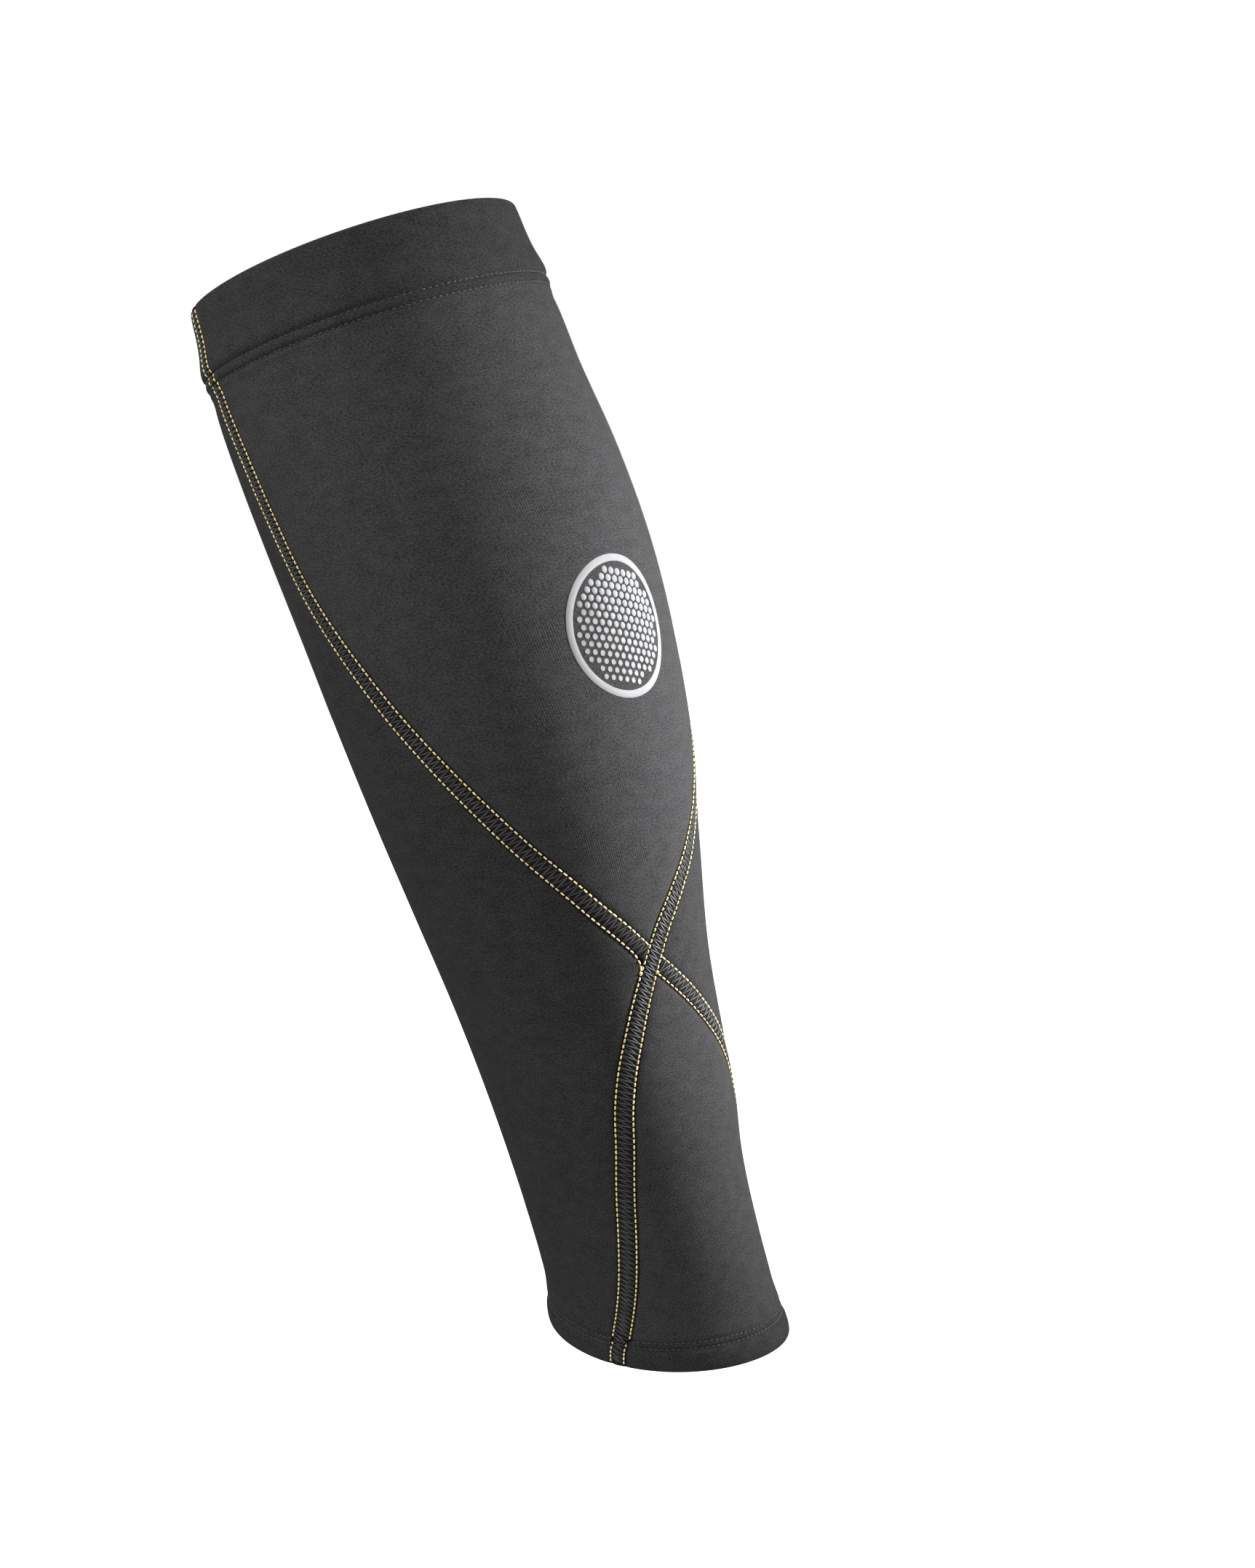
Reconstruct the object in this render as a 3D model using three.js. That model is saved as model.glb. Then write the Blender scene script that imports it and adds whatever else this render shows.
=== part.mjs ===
// Calf compression sleeve in its worn form, open at both ends.
// Millimetres. +Z runs up the leg, -Y faces the viewer of the outer calf, +X is the calf side.
// The origin is the centre of the ankle opening, on the axis of the leg.

import * as THREE from 'three';
import { mergeVertices } from 'three/addons/utils/BufferGeometryUtils.js';

// Driving sizes.
const SLEEVE_HEIGHT = 345;
const CALF_WIDTH = 112;
const PANEL_WALL = 1.2;
const BAND_HEIGHT = 24;
const BAND_WALL = 2.0;
const HEM_HEIGHT = 8.5;
const HEM_WALL = 1.8;
const SEAM_WIDTH = 5.6;
const SEAM_RISE = 0.4;
const SEAM_TIP = 1.0;
const PANEL_TIP = 1.6;
const PRINT_WIDTH = 40;
const PRINT_HEIGHT = 42.5;
const PRINT_WALL = 0.5;
const GAP = 0.3;

// Angles are in degrees round the leg from the middle of the calf, which lies between -Y and +X.
const CALF_TURN = 34;
const PRINT_ANGLE = 10;
const PRINT_LEAN = 18;
const PRINT_LEVEL = 0.632;

// The middle of the ankle lies this share of CALF_WIDTH to +X of the origin.
const AXIS_RIGHT = 0.018;

// The leg at each height. Heights are shares of SLEEVE_HEIGHT above the ankle opening's centre.
// Left and right are the reach to -X and +X of the axis, as shares of CALF_WIDTH.
// Breadth is the half-breadth across the calf as a share of its half-depth, and egg narrows the shin.
const SECTIONS = [
  { height: -0.042, left: 0.305, right: 0.337, breadth: 0.88, egg: 0.02 },
  { height: 0.029, left: 0.303, right: 0.331, breadth: 0.88, egg: 0.02 },
  { height: 0.070, left: 0.281, right: 0.333, breadth: 0.88, egg: 0.02 },
  { height: 0.151, left: 0.275, right: 0.347, breadth: 0.88, egg: 0.03 },
  { height: 0.193, left: 0.279, right: 0.366, breadth: 0.89, egg: 0.03 },
  { height: 0.232, left: 0.287, right: 0.375, breadth: 0.90, egg: 0.04 },
  { height: 0.333, left: 0.315, right: 0.404, breadth: 0.93, egg: 0.05 },
  { height: 0.429, left: 0.351, right: 0.460, breadth: 0.96, egg: 0.06 },
  { height: 0.522, left: 0.387, right: 0.515, breadth: 0.98, egg: 0.07 },
  { height: 0.614, left: 0.418, right: 0.542, breadth: 1.00, egg: 0.07 },
  { height: 0.696, left: 0.441, right: 0.548, breadth: 1.00, egg: 0.07 },
  { height: 0.783, left: 0.463, right: 0.533, breadth: 1.00, egg: 0.06 },
  { height: 0.870, left: 0.480, right: 0.501, breadth: 0.99, egg: 0.04 },
  { height: 0.922, left: 0.487, right: 0.489, breadth: 0.98, egg: 0.03 },
  { height: 0.968, left: 0.479, right: 0.465, breadth: 0.98, egg: 0.03 },
  { height: 1.021, left: 0.472, right: 0.450, breadth: 0.98, egg: 0.02 },
];

// The middle lines of the two long seams. A level is 0 on the lower edge of the cloth and 1 on the
// upper edge; outer and inner are the two seams' angles in degrees.
const SEAM_LINES = [
  { level: -0.02, outer: 71.5, inner: -68.0 },
  { level: 0.00, outer: 70.5, inner: -65.5 },
  { level: 0.045, outer: 67.0, inner: -58.0 },
  { level: 0.12, outer: 61.5, inner: -47.6 },
  { level: 0.20, outer: 53.0, inner: -38.3 },
  { level: 0.245, outer: 44.5, inner: -31.8 },
  { level: 0.27, outer: 35.8, inner: -26.8 },
  { level: 0.30, outer: 23.2, inner: -19.3 },
  { level: 0.32, outer: 14.6, inner: -14.0 },
  { level: 0.345, outer: 3.0, inner: -6.8 },
  { level: 0.36, outer: -4.0, inner: -2.2 },
  { level: 0.385, outer: -13.8, inner: 5.8 },
  { level: 0.407, outer: -22.0, inner: 14.4 },
  { level: 0.437, outer: -31.6, inner: 26.8 },
  { level: 0.473, outer: -42.3, inner: 40.5 },
  { level: 0.52, outer: -53.8, inner: 53.0 },
  { level: 0.58, outer: -66.2, inner: 65.5 },
  { level: 0.64, outer: -77.0, inner: 77.0 },
  { level: 0.72, outer: -89.2, inner: 89.0 },
  { level: 0.80, outer: -95.0, inner: 95.0 },
  { level: 0.87, outer: -99.0, inner: 99.0 },
  { level: 0.93, outer: -103.4, inner: 103.4 },
  { level: 1.02, outer: -109.6, inner: 109.6 },
];

// The folded edges, from the stitch line (0) to the free edge (1).
// Outer and inner are the distances of the two faces from the panels' outer face, as shares of
// the edge's own wall.
const BAND_FOLD = [
  { reach: 0.00, outer: 0.05, inner: -0.70 },
  { reach: 0.10, outer: 0.32, inner: -0.72 },
  { reach: 0.50, outer: 0.25, inner: -0.75 },
  { reach: 0.94, outer: 0.22, inner: -0.75 },
  { reach: 1.00, outer: -0.05, inner: -0.50 },
];
const HEM_FOLD = [
  { reach: 0.00, outer: 0.05, inner: -0.75 },
  { reach: 0.20, outer: 0.22, inner: -0.78 },
  { reach: 0.86, outer: 0.22, inner: -0.78 },
  { reach: 1.00, outer: -0.05, inner: -0.50 },
];

// The slant of both open ends. Each is a mean height, as a share of SLEEVE_HEIGHT, and a rise
// towards +X and towards -Y and a wave twice round, as shares of CALF_WIDTH.
const LOWER_EDGE = { mean: 0.002, right: -0.096, front: -0.036, wave: -0.010, waveTurn: -33 };
const UPPER_EDGE = { mean: 1.000, right: 0.027, front: 0.014, wave: 0.000, waveTurn: 0 };

// Steps of the facets.
const LEVEL_STEP = 0.034;
const FINE_STEP = 0.0175;
const FINE_REACH = 0.07;
const ANGLE_STEP = 9;
const PRINT_STEPS = 8;
const DISC_SQUARE = 0.98;

const COLOURS = {
  calf: 0x3d3d3f,
  shin: 0x353537,
  achilles: 0x434345,
  edge: 0x363638,
  seam: 0xc9a93f,
  print: 0xc8c9ca,
};

const { cos, sin, min, max, sqrt, round, hypot } = Math;
const radians = THREE.MathUtils.degToRad;

// A smooth curve through one column of a table, straight beyond its ends.
function along(table, key, column, x) {
  const count = table.length;
  const slope = (i) => (table[i + 1][column] - table[i][column]) / (table[i + 1][key] - table[i][key]);
  const width = (i) => table[i + 1][key] - table[i][key];
  const tangent = (i) => {
    if (i === 0) return slope(0);
    if (i === count - 1) return slope(count - 2);
    return (width(i) * slope(i - 1) + width(i - 1) * slope(i)) / (width(i) + width(i - 1));
  };
  if (x <= table[0][key]) return table[0][column] + slope(0) * (x - table[0][key]);
  const last = table[count - 1];
  if (x >= last[key]) return last[column] + slope(count - 2) * (x - last[key]);
  let i = 0;
  while (x > table[i + 1][key]) i += 1;
  const span = width(i);
  const s = (x - table[i][key]) / span;
  const r = 1 - s;
  return table[i][column] * (1 + 2 * s) * r * r + table[i + 1][column] * s * s * (3 - 2 * s)
    + span * s * r * (tangent(i) * r - tangent(i + 1) * s);
}

// Straight steps through one column of a table.
function between(table, key, column, x) {
  let i = 0;
  while (i < table.length - 2 && x > table[i + 1][key]) i += 1;
  const s = (x - table[i][key]) / (table[i + 1][key] - table[i][key]);
  return table[i][column] * (1 - s) + table[i + 1][column] * s;
}

// The height of an open end's edge at an angle.
function edgeHeight(edge, angle) {
  const turn = radians(angle + CALF_TURN);
  const slant = edge.right * sin(turn) + edge.front * cos(turn)
    + edge.wave * cos(2 * (turn - radians(edge.waveTurn)));
  return edge.mean * SLEEVE_HEIGHT + slant * CALF_WIDTH;
}

// A point on the outer face of the cloth.
function clothPoint(angle, level) {
  const height = edgeHeight(LOWER_EDGE, angle) * (1 - level) + edgeHeight(UPPER_EDGE, angle) * level;
  const share = height / SLEEVE_HEIGHT;
  const left = along(SECTIONS, 'height', 'left', share) * CALF_WIDTH;
  const right = along(SECTIONS, 'height', 'right', share) * CALF_WIDTH;
  const breadth = along(SECTIONS, 'height', 'breadth', share);
  const egg = along(SECTIONS, 'height', 'egg', share);
  const turn = radians(CALF_TURN);
  const axis = AXIS_RIGHT * CALF_WIDTH;
  const halfDepth = (left + right) / 2 / hypot(sin(turn), breadth * cos(turn));
  const shift = ((right - left) / 2 - axis) / sin(turn);
  const a = radians(angle);
  const back = shift + halfDepth * cos(a);
  const across = breadth * halfDepth * sin(a) * (1 + egg * cos(a));
  return new THREE.Vector3(
    axis + back * sin(turn) + across * cos(turn),
    -back * cos(turn) + across * sin(turn),
    height,
  );
}

// How the cloth runs at a point: millimetres per degree round the leg, millimetres per level up
// it, and the outward direction.
function clothFrame(angle, level) {
  const round1 = clothPoint(angle + 0.5, level).sub(clothPoint(angle - 0.5, level));
  const up = clothPoint(angle, level + 0.002).sub(clothPoint(angle, level - 0.002)).divideScalar(0.004);
  const out = new THREE.Vector3().crossVectors(round1, up).normalize();
  return { perDegree: round1.length(), perLevel: up.length(), out };
}

// A point at a distance outside the cloth's outer face.
function offsetPoint(angle, level, distance) {
  return clothPoint(angle, level).addScaledVector(clothFrame(angle, level).out, distance);
}

// The middle angle of a seam, and the half-width in degrees of a strip of a given width on it.
const seamAngle = (seam, level) => along(SEAM_LINES, 'level', seam, level);

function seamHalf(seam, level, width) {
  const angle = seamAngle(seam, level);
  const { perDegree, perLevel } = clothFrame(angle, level);
  const lean = (seamAngle(seam, level + 0.002) - seamAngle(seam, level - 0.002)) / 0.004;
  return (width / 2) * sqrt(1 + ((lean * perDegree) / perLevel) ** 2) / perDegree;
}

const seamLeft = (seam, level, extra = 0) =>
  seamAngle(seam, level) - seamHalf(seam, level, SEAM_WIDTH + 2 * extra);
const seamRight = (seam, level, extra = 0) =>
  seamAngle(seam, level) + seamHalf(seam, level, SEAM_WIDTH + 2 * extra);

// The level between two others where a falling measure reaches zero.
function levelWhere(measure, low, high) {
  let [a, b] = [low, high];
  for (let i = 0; i < 40; i += 1) {
    const middle = (a + b) / 2;
    if (measure(a) > 0 === measure(middle) > 0) a = middle;
    else b = middle;
  }
  return (a + b) / 2;
}

// Levels of the stitch lines, the crossing and the ends of the pieces that taper there.
const HEM_LEVEL = HEM_HEIGHT / SLEEVE_HEIGHT;
const BAND_LEVEL = 1 - BAND_HEIGHT / SLEEVE_HEIGHT;
const HALF_GAP_LEVEL = GAP / 2 / SLEEVE_HEIGHT;
const CROSS_LOW = 0.2;
const CROSS_HIGH = 0.6;
const CROSSING = levelWhere((level) => seamAngle('outer', level) - seamAngle('inner', level),
  CROSS_LOW, CROSS_HIGH);
const wide = (left, right, level) => (right - left) * clothFrame((left + right) / 2, level).perDegree;
const CALF_END = levelWhere((level) => wide(seamRight('outer', level, GAP),
  seamLeft('inner', level, GAP), level) - PANEL_TIP, CROSSING, CROSS_HIGH);
const ACHILLES_END = levelWhere((level) => wide(seamRight('inner', level, GAP),
  seamLeft('outer', level, GAP), level) - PANEL_TIP, CROSSING, CROSS_LOW);
const UPPER_STRIP_END = levelWhere((level) => wide(seamLeft('outer', level),
  seamLeft('inner', level, GAP), level) - SEAM_TIP, CROSSING, CROSS_HIGH);
const LOWER_STRIP_END = levelWhere((level) => wide(seamRight('inner', level, GAP),
  seamRight('outer', level), level) - SEAM_TIP, CROSSING, CROSS_LOW);

// The two faces of the cloth at a level, as distances from the panels' outer face.
function clothWall(level) {
  if (level > BAND_LEVEL) {
    const reach = (level - BAND_LEVEL) / (1 - BAND_LEVEL);
    return ['inner', 'outer'].map((side) => between(BAND_FOLD, 'reach', side, reach) * BAND_WALL);
  }
  if (level < HEM_LEVEL) {
    const reach = 1 - level / HEM_LEVEL;
    return ['inner', 'outer'].map((side) => between(HEM_FOLD, 'reach', side, reach) * HEM_WALL);
  }
  return [-PANEL_WALL, 0];
}

function seamWall(level) {
  const [inner, outer] = clothWall(level);
  return [inner, outer + SEAM_RISE];
}

// All levels at which the facets are cut: the folds' own, even steps, and finer ones at the crossing.
function facetLevels() {
  const levels = [];
  HEM_FOLD.forEach(({ reach }) => levels.push(HEM_LEVEL * (1 - reach)));
  BAND_FOLD.forEach(({ reach }) => levels.push(BAND_LEVEL + (1 - BAND_LEVEL) * reach));
  const steps = round((BAND_LEVEL - HEM_LEVEL) / LEVEL_STEP);
  for (let i = 1; i < steps; i += 1) {
    const level = HEM_LEVEL + ((BAND_LEVEL - HEM_LEVEL) * i) / steps;
    if (Math.abs(level - CROSSING) > FINE_REACH) levels.push(level);
  }
  const fineSteps = round((2 * FINE_REACH) / FINE_STEP);
  for (let i = 0; i <= fineSteps; i += 1) {
    levels.push(CROSSING - FINE_REACH + (2 * FINE_REACH * i) / fineSteps);
  }
  return levels.sort((a, b) => a - b);
}
const LEVELS = facetLevels();

// The facet levels from one level to another, both included.
function levelsFrom(low, high) {
  const inside = LEVELS.filter((level) => level > low + FINE_STEP / 4 && level < high - FINE_STEP / 4);
  return [low, ...inside, high];
}

const material = (name, roughness) =>
  new THREE.MeshStandardMaterial({ color: COLOURS[name], roughness, metalness: 0 });

// A flat block of facets is wrapped on the leg. Span gives the left and right angles at a level,
// and wall the inner and outer distances.
function wrapped(name, levels, span, wall, look) {
  const [left, right] = span(levels[round(levels.length / 2)]);
  const columns = max(2, round((right - left) / ANGLE_STEP));
  const geometry = blockOfFacets(columns, levels.length - 1);
  const place = geometry.attributes.position;
  for (let i = 0; i < place.count; i += 1) {
    const level = levels[round((place.getY(i) + 0.5) * (levels.length - 1))];
    const [from, to] = span(level);
    const angle = from + (to - from) * (place.getX(i) + 0.5);
    const distance = wall(level)[place.getZ(i) > 0 ? 1 : 0];
    place.setXYZ(i, ...offsetPoint(angle, level, distance));
  }
  return finished(name, geometry, look);
}

function blockOfFacets(columns, rows) {
  const block = new THREE.BoxGeometry(1, 1, 1, columns, rows, 1);
  block.deleteAttribute('normal');
  block.deleteAttribute('uv');
  return mergeVertices(block);
}

function finished(name, geometry, look) {
  geometry.computeVertexNormals();
  const mesh = new THREE.Mesh(geometry, look);
  mesh.name = name;
  return mesh;
}

// The three panels. The shin panel goes round the front of the leg, behind both seams.
const FULL_TURN = 360;
const bodyLow = HEM_LEVEL + HALF_GAP_LEVEL;
const bodyHigh = BAND_LEVEL - HALF_GAP_LEVEL;
const calfSpan = (level) => [seamRight('outer', level, GAP), seamLeft('inner', level, GAP)];
const achillesSpan = (level) => [seamRight('inner', level, GAP), seamLeft('outer', level, GAP)];
const shinSpan = (level) => [
  max(seamRight('outer', level, GAP), seamRight('inner', level, GAP)),
  min(seamLeft('outer', level, GAP), seamLeft('inner', level, GAP)) + FULL_TURN,
];

function panels() {
  return [
    wrapped('calf_panel', levelsFrom(CALF_END, bodyHigh), calfSpan, clothWall, material('calf', 0.6)),
    wrapped('achilles_panel', levelsFrom(bodyLow, ACHILLES_END), achillesSpan, clothWall,
      material('achilles', 0.6)),
    wrapped('shin_panel', levelsFrom(bodyLow, bodyHigh), shinSpan, clothWall, material('shin', 0.62)),
  ];
}

// The folded band round the top and the folded hem round the ankle, each in two lengths between
// the seams.
function foldedEdges() {
  const band = levelsFrom(BAND_LEVEL + HALF_GAP_LEVEL, 1);
  const hem = levelsFrom(0, HEM_LEVEL - HALF_GAP_LEVEL);
  const edge = material('edge', 0.62);
  return [
    wrapped('top_band_calf', band, calfSpan, clothWall, edge),
    wrapped('top_band_shin', band, shinSpan, clothWall, edge),
    wrapped('hem_achilles', hem, achillesSpan, clothWall, edge),
    wrapped('hem_shin', hem, shinSpan, clothWall, edge),
  ];
}

// The flat seams. The inner one runs on top and is whole; the outer one stops on both sides of it.
function seams() {
  const look = material('seam', 0.55);
  const whole = (level) => [seamLeft('inner', level), seamRight('inner', level)];
  const above = (level) => [seamLeft('outer', level),
    min(seamRight('outer', level), seamLeft('inner', level, GAP))];
  const below = (level) => [max(seamLeft('outer', level), seamRight('inner', level, GAP)),
    seamRight('outer', level)];
  return [
    wrapped('flat_seam_inner', levelsFrom(0, 1), whole, seamWall, look),
    wrapped('flat_seam_outer_upper', levelsFrom(UPPER_STRIP_END, 1), above, seamWall, look),
    wrapped('flat_seam_outer_lower', levelsFrom(0, LOWER_STRIP_END), below, seamWall, look),
  ];
}

// The round reflective print: a block of facets drawn into a disc and laid on the calf panel.
function reflectivePrint() {
  const geometry = blockOfFacets(PRINT_STEPS, PRINT_STEPS);
  const place = geometry.attributes.position;
  const { perDegree, perLevel } = clothFrame(PRINT_ANGLE, PRINT_LEVEL);
  const lean = radians(PRINT_LEAN);
  for (let i = 0; i < place.count; i += 1) {
    const x = 2 * place.getX(i) * DISC_SQUARE;
    const y = 2 * place.getY(i) * DISC_SQUARE;
    const across = x * sqrt(1 - (y * y) / 2) * (PRINT_WIDTH / 2);
    const up = y * sqrt(1 - (x * x) / 2) * (PRINT_HEIGHT / 2);
    const angle = PRINT_ANGLE + (across * cos(lean) + up * sin(lean)) / perDegree;
    const level = PRINT_LEVEL + (up * cos(lean) - across * sin(lean)) / perLevel;
    const distance = GAP + (place.getZ(i) > 0 ? PRINT_WALL : 0);
    place.setXYZ(i, ...offsetPoint(angle, level, distance));
  }
  return finished('reflective_print', geometry, material('print', 0.4));
}

const sleeve = new THREE.Group();
sleeve.add(...panels(), ...foldedEdges(), ...seams(), reflectivePrint());

export default sleeve;
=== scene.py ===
"""One calf compression sleeve in its worn form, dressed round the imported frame.

Lengths are in metres. +Z runs up the leg, -Y faces the photograph's view and +X is the calf side.
Angles are in degrees round the leg from the middle of the calf. A level is 0 on the lower edge of
the cloth and 1 on the upper edge.
"""
from collections import namedtuple
from math import cos, pi, radians, sin

import bmesh
import bpy
import numpy as np
from mathutils import Matrix, Vector

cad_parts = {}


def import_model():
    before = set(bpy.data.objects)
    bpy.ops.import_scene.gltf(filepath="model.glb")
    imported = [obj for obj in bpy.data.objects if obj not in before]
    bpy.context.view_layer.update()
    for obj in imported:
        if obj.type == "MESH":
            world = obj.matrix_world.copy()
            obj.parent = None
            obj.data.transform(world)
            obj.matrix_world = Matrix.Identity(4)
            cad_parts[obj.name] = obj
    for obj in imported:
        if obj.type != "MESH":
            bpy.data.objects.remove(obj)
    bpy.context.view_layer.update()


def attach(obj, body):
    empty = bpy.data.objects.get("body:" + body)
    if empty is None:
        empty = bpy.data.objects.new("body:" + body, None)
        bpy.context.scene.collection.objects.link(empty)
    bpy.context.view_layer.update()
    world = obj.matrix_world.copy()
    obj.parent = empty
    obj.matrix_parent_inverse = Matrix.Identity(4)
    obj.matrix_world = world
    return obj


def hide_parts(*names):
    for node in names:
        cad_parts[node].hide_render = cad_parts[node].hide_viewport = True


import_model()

MM = 0.001

# Sizes shared with the frame.
SLEEVE_HEIGHT = 345 * MM
CALF_WIDTH = 112 * MM
PRINT_WIDTH = 40 * MM
PRINT_HEIGHT = 42.5 * MM
CALF_TURN = 34
AXIS_RIGHT = 0.018
PRINT_ANGLE = 10
PRINT_LEAN = 18
PRINT_LEVEL = 0.632
FULL_TURN = 360

# The leg at each height, as shares of SLEEVE_HEIGHT and CALF_WIDTH.
Section = namedtuple("Section", "height left right breadth egg")
SECTIONS = [
    Section(-0.042, 0.305, 0.337, 0.88, 0.02),
    Section(0.029, 0.303, 0.331, 0.88, 0.02),
    Section(0.070, 0.281, 0.333, 0.88, 0.02),
    Section(0.151, 0.275, 0.347, 0.88, 0.03),
    Section(0.193, 0.279, 0.366, 0.89, 0.03),
    Section(0.232, 0.287, 0.375, 0.90, 0.04),
    Section(0.333, 0.315, 0.404, 0.93, 0.05),
    Section(0.429, 0.351, 0.460, 0.96, 0.06),
    Section(0.522, 0.387, 0.515, 0.98, 0.07),
    Section(0.614, 0.418, 0.542, 1.00, 0.07),
    Section(0.696, 0.441, 0.548, 1.00, 0.07),
    Section(0.783, 0.463, 0.533, 1.00, 0.06),
    Section(0.870, 0.480, 0.501, 0.99, 0.04),
    Section(0.922, 0.487, 0.489, 0.98, 0.03),
    Section(0.968, 0.479, 0.465, 0.98, 0.03),
    Section(1.021, 0.472, 0.450, 0.98, 0.02),
]

# The middle lines of the two long seams, in degrees at each level.
SeamPoint = namedtuple("SeamPoint", "level outer inner")
SEAM_LINES = [
    SeamPoint(-0.02, 71.5, -68.0),
    SeamPoint(0.00, 70.5, -65.5),
    SeamPoint(0.045, 67.0, -58.0),
    SeamPoint(0.12, 61.5, -47.6),
    SeamPoint(0.20, 53.0, -38.3),
    SeamPoint(0.245, 44.5, -31.8),
    SeamPoint(0.27, 35.8, -26.8),
    SeamPoint(0.30, 23.2, -19.3),
    SeamPoint(0.32, 14.6, -14.0),
    SeamPoint(0.345, 3.0, -6.8),
    SeamPoint(0.36, -4.0, -2.2),
    SeamPoint(0.385, -13.8, 5.8),
    SeamPoint(0.407, -22.0, 14.4),
    SeamPoint(0.437, -31.6, 26.8),
    SeamPoint(0.473, -42.3, 40.5),
    SeamPoint(0.52, -53.8, 53.0),
    SeamPoint(0.58, -66.2, 65.5),
    SeamPoint(0.64, -77.0, 77.0),
    SeamPoint(0.72, -89.2, 89.0),
    SeamPoint(0.80, -95.0, 95.0),
    SeamPoint(0.87, -99.0, 99.0),
    SeamPoint(0.93, -103.4, 103.4),
    SeamPoint(1.02, -109.6, 109.6),
]

# The slant of both open ends.
Edge = namedtuple("Edge", "mean right front wave wave_turn")
LOWER_EDGE = Edge(0.002, -0.096, -0.036, -0.010, -33)
UPPER_EDGE = Edge(1.000, 0.027, 0.014, 0.000, 0)

# How the cloth rises and dips below the top edge and above the ankle edge, in millimetres.
Relief = namedtuple("Relief", "away rise")
BAND_RELIEF = [
    Relief(-1, 0.05), Relief(0, 0.05), Relief(3, 0.20), Relief(9, 0.30), Relief(14, 0.55),
    Relief(18, 1.00), Relief(20.0, 1.10), Relief(21.6, 0.78), Relief(22.7, 0.05),
    Relief(23.4, 0.38), Relief(24.2, 0.46), Relief(25.0, 0.26), Relief(25.7, -0.25),
    Relief(26.5, -0.18), Relief(28.6, -0.50), Relief(33, -0.32), Relief(40, -0.06),
    Relief(46, 0), Relief(48, 0),
]
HEM_RELIEF = [
    Relief(-1, 0.05), Relief(0, 0.05), Relief(1.5, 0.42), Relief(4.0, 0.62), Relief(6.0, 0.45),
    Relief(7.2, -0.22), Relief(8.1, 0.16), Relief(9.0, -0.22), Relief(10.2, 0.10),
    Relief(12, 0.06), Relief(16, -0.10), Relief(22, 0), Relief(24, 0),
]
BAND_ROWS = (22.7 * MM, 25.7 * MM)
HEM_ROWS = (7.2 * MM, 9.0 * MM)
BAND_INSIDE = 27.5 * MM
HEM_INSIDE = 10.6 * MM
RIM_RADIUS = 0.85 * MM
CLOTH_THICKNESS = 0.75 * MM

# The two stitch rows of each seam, in millimetres to the left and right of its middle line.
RowPlace = namedtuple("RowPlace", "level outer_left outer_right inner_left inner_right")
ROW_PLACES = [
    RowPlace(-0.02, 2.5, 2.6, 2.9, 2.4),
    RowPlace(0.15, 2.5, 2.6, 2.9, 2.4),
    RowPlace(0.28, 2.4, 2.6, 2.6, 2.5),
    RowPlace(0.345, 2.3, 2.7, 2.55, 2.55),
    RowPlace(0.385, 2.1, 3.0, 2.55, 2.55),
    RowPlace(0.48, 2.2, 2.9, 2.5, 2.5),
    RowPlace(0.60, 2.4, 2.7, 2.5, 2.5),
    RowPlace(0.80, 2.8, 2.8, 2.6, 2.6),
    RowPlace(1.02, 2.8, 2.9, 2.6, 2.6),
]
StitchPitch = namedtuple("StitchPitch", "level outer inner")
STITCH_PITCHES = [
    StitchPitch(-0.02, 1.50, 1.30),
    StitchPitch(0.05, 1.55, 1.38),
    StitchPitch(0.12, 1.65, 1.62),
    StitchPitch(0.20, 1.75, 1.70),
    StitchPitch(0.30, 1.95, 1.68),
    StitchPitch(0.41, 2.04, 1.70),
    StitchPitch(0.48, 1.86, 1.78),
    StitchPitch(0.65, 1.75, 1.72),
    StitchPitch(0.80, 1.58, 1.65),
    StitchPitch(1.02, 1.66, 1.62),
]
HEM_JOG = 1.0 * MM
SEAM_DIP = 0.32 * MM
SEAM_DIP_REACH = 1.3 * MM
SEAM_CROWN = 0.42 * MM
HALF_SLOT = -0.04 * MM
STEP = 0.002

# Camera, from the vanishing of the two open ends in the photograph.
CAMERA_PLACE = (0, -0.75, 0.228)
CAMERA_YAW = -2.75
CAMERA_PITCH = -4.531
CAMERA_ROLL = -15.834
CAMERA_LENS = 55.78
FLOOR_HEIGHT = -0.09


def column(rows, name):
    return np.array([getattr(row, name) for row in rows], float)


def along(rows, name, x):
    """A smooth curve through one column of a table, straight beyond its ends."""
    keys = column(rows, rows[0]._fields[0])
    values = column(rows, name)
    x = np.asarray(x, float)
    width = np.diff(keys)
    slope = np.diff(values) / width
    tangent = np.empty(len(keys))
    tangent[0] = slope[0]
    tangent[-1] = slope[-1]
    tangent[1:-1] = (width[1:] * slope[:-1] + width[:-1] * slope[1:]) / (width[1:] + width[:-1])
    i = np.clip(np.searchsorted(keys, x) - 1, 0, len(keys) - 2)
    s = (x - keys[i]) / width[i]
    r = 1 - s
    inside = (values[i] * (1 + 2 * s) * r * r + values[i + 1] * s * s * (3 - 2 * s)
              + width[i] * s * r * (tangent[i] * r - tangent[i + 1] * s))
    below = values[0] + slope[0] * (x - keys[0])
    above = values[-1] + slope[-1] * (x - keys[-1])
    return np.where(x < keys[0], below, np.where(x > keys[-1], above, inside))


def edge_height(edge, angle):
    turn = np.radians(angle + CALF_TURN)
    slant = (edge.right * np.sin(turn) + edge.front * np.cos(turn)
             + edge.wave * np.cos(2 * (turn - radians(edge.wave_turn))))
    return edge.mean * SLEEVE_HEIGHT + slant * CALF_WIDTH


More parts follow.
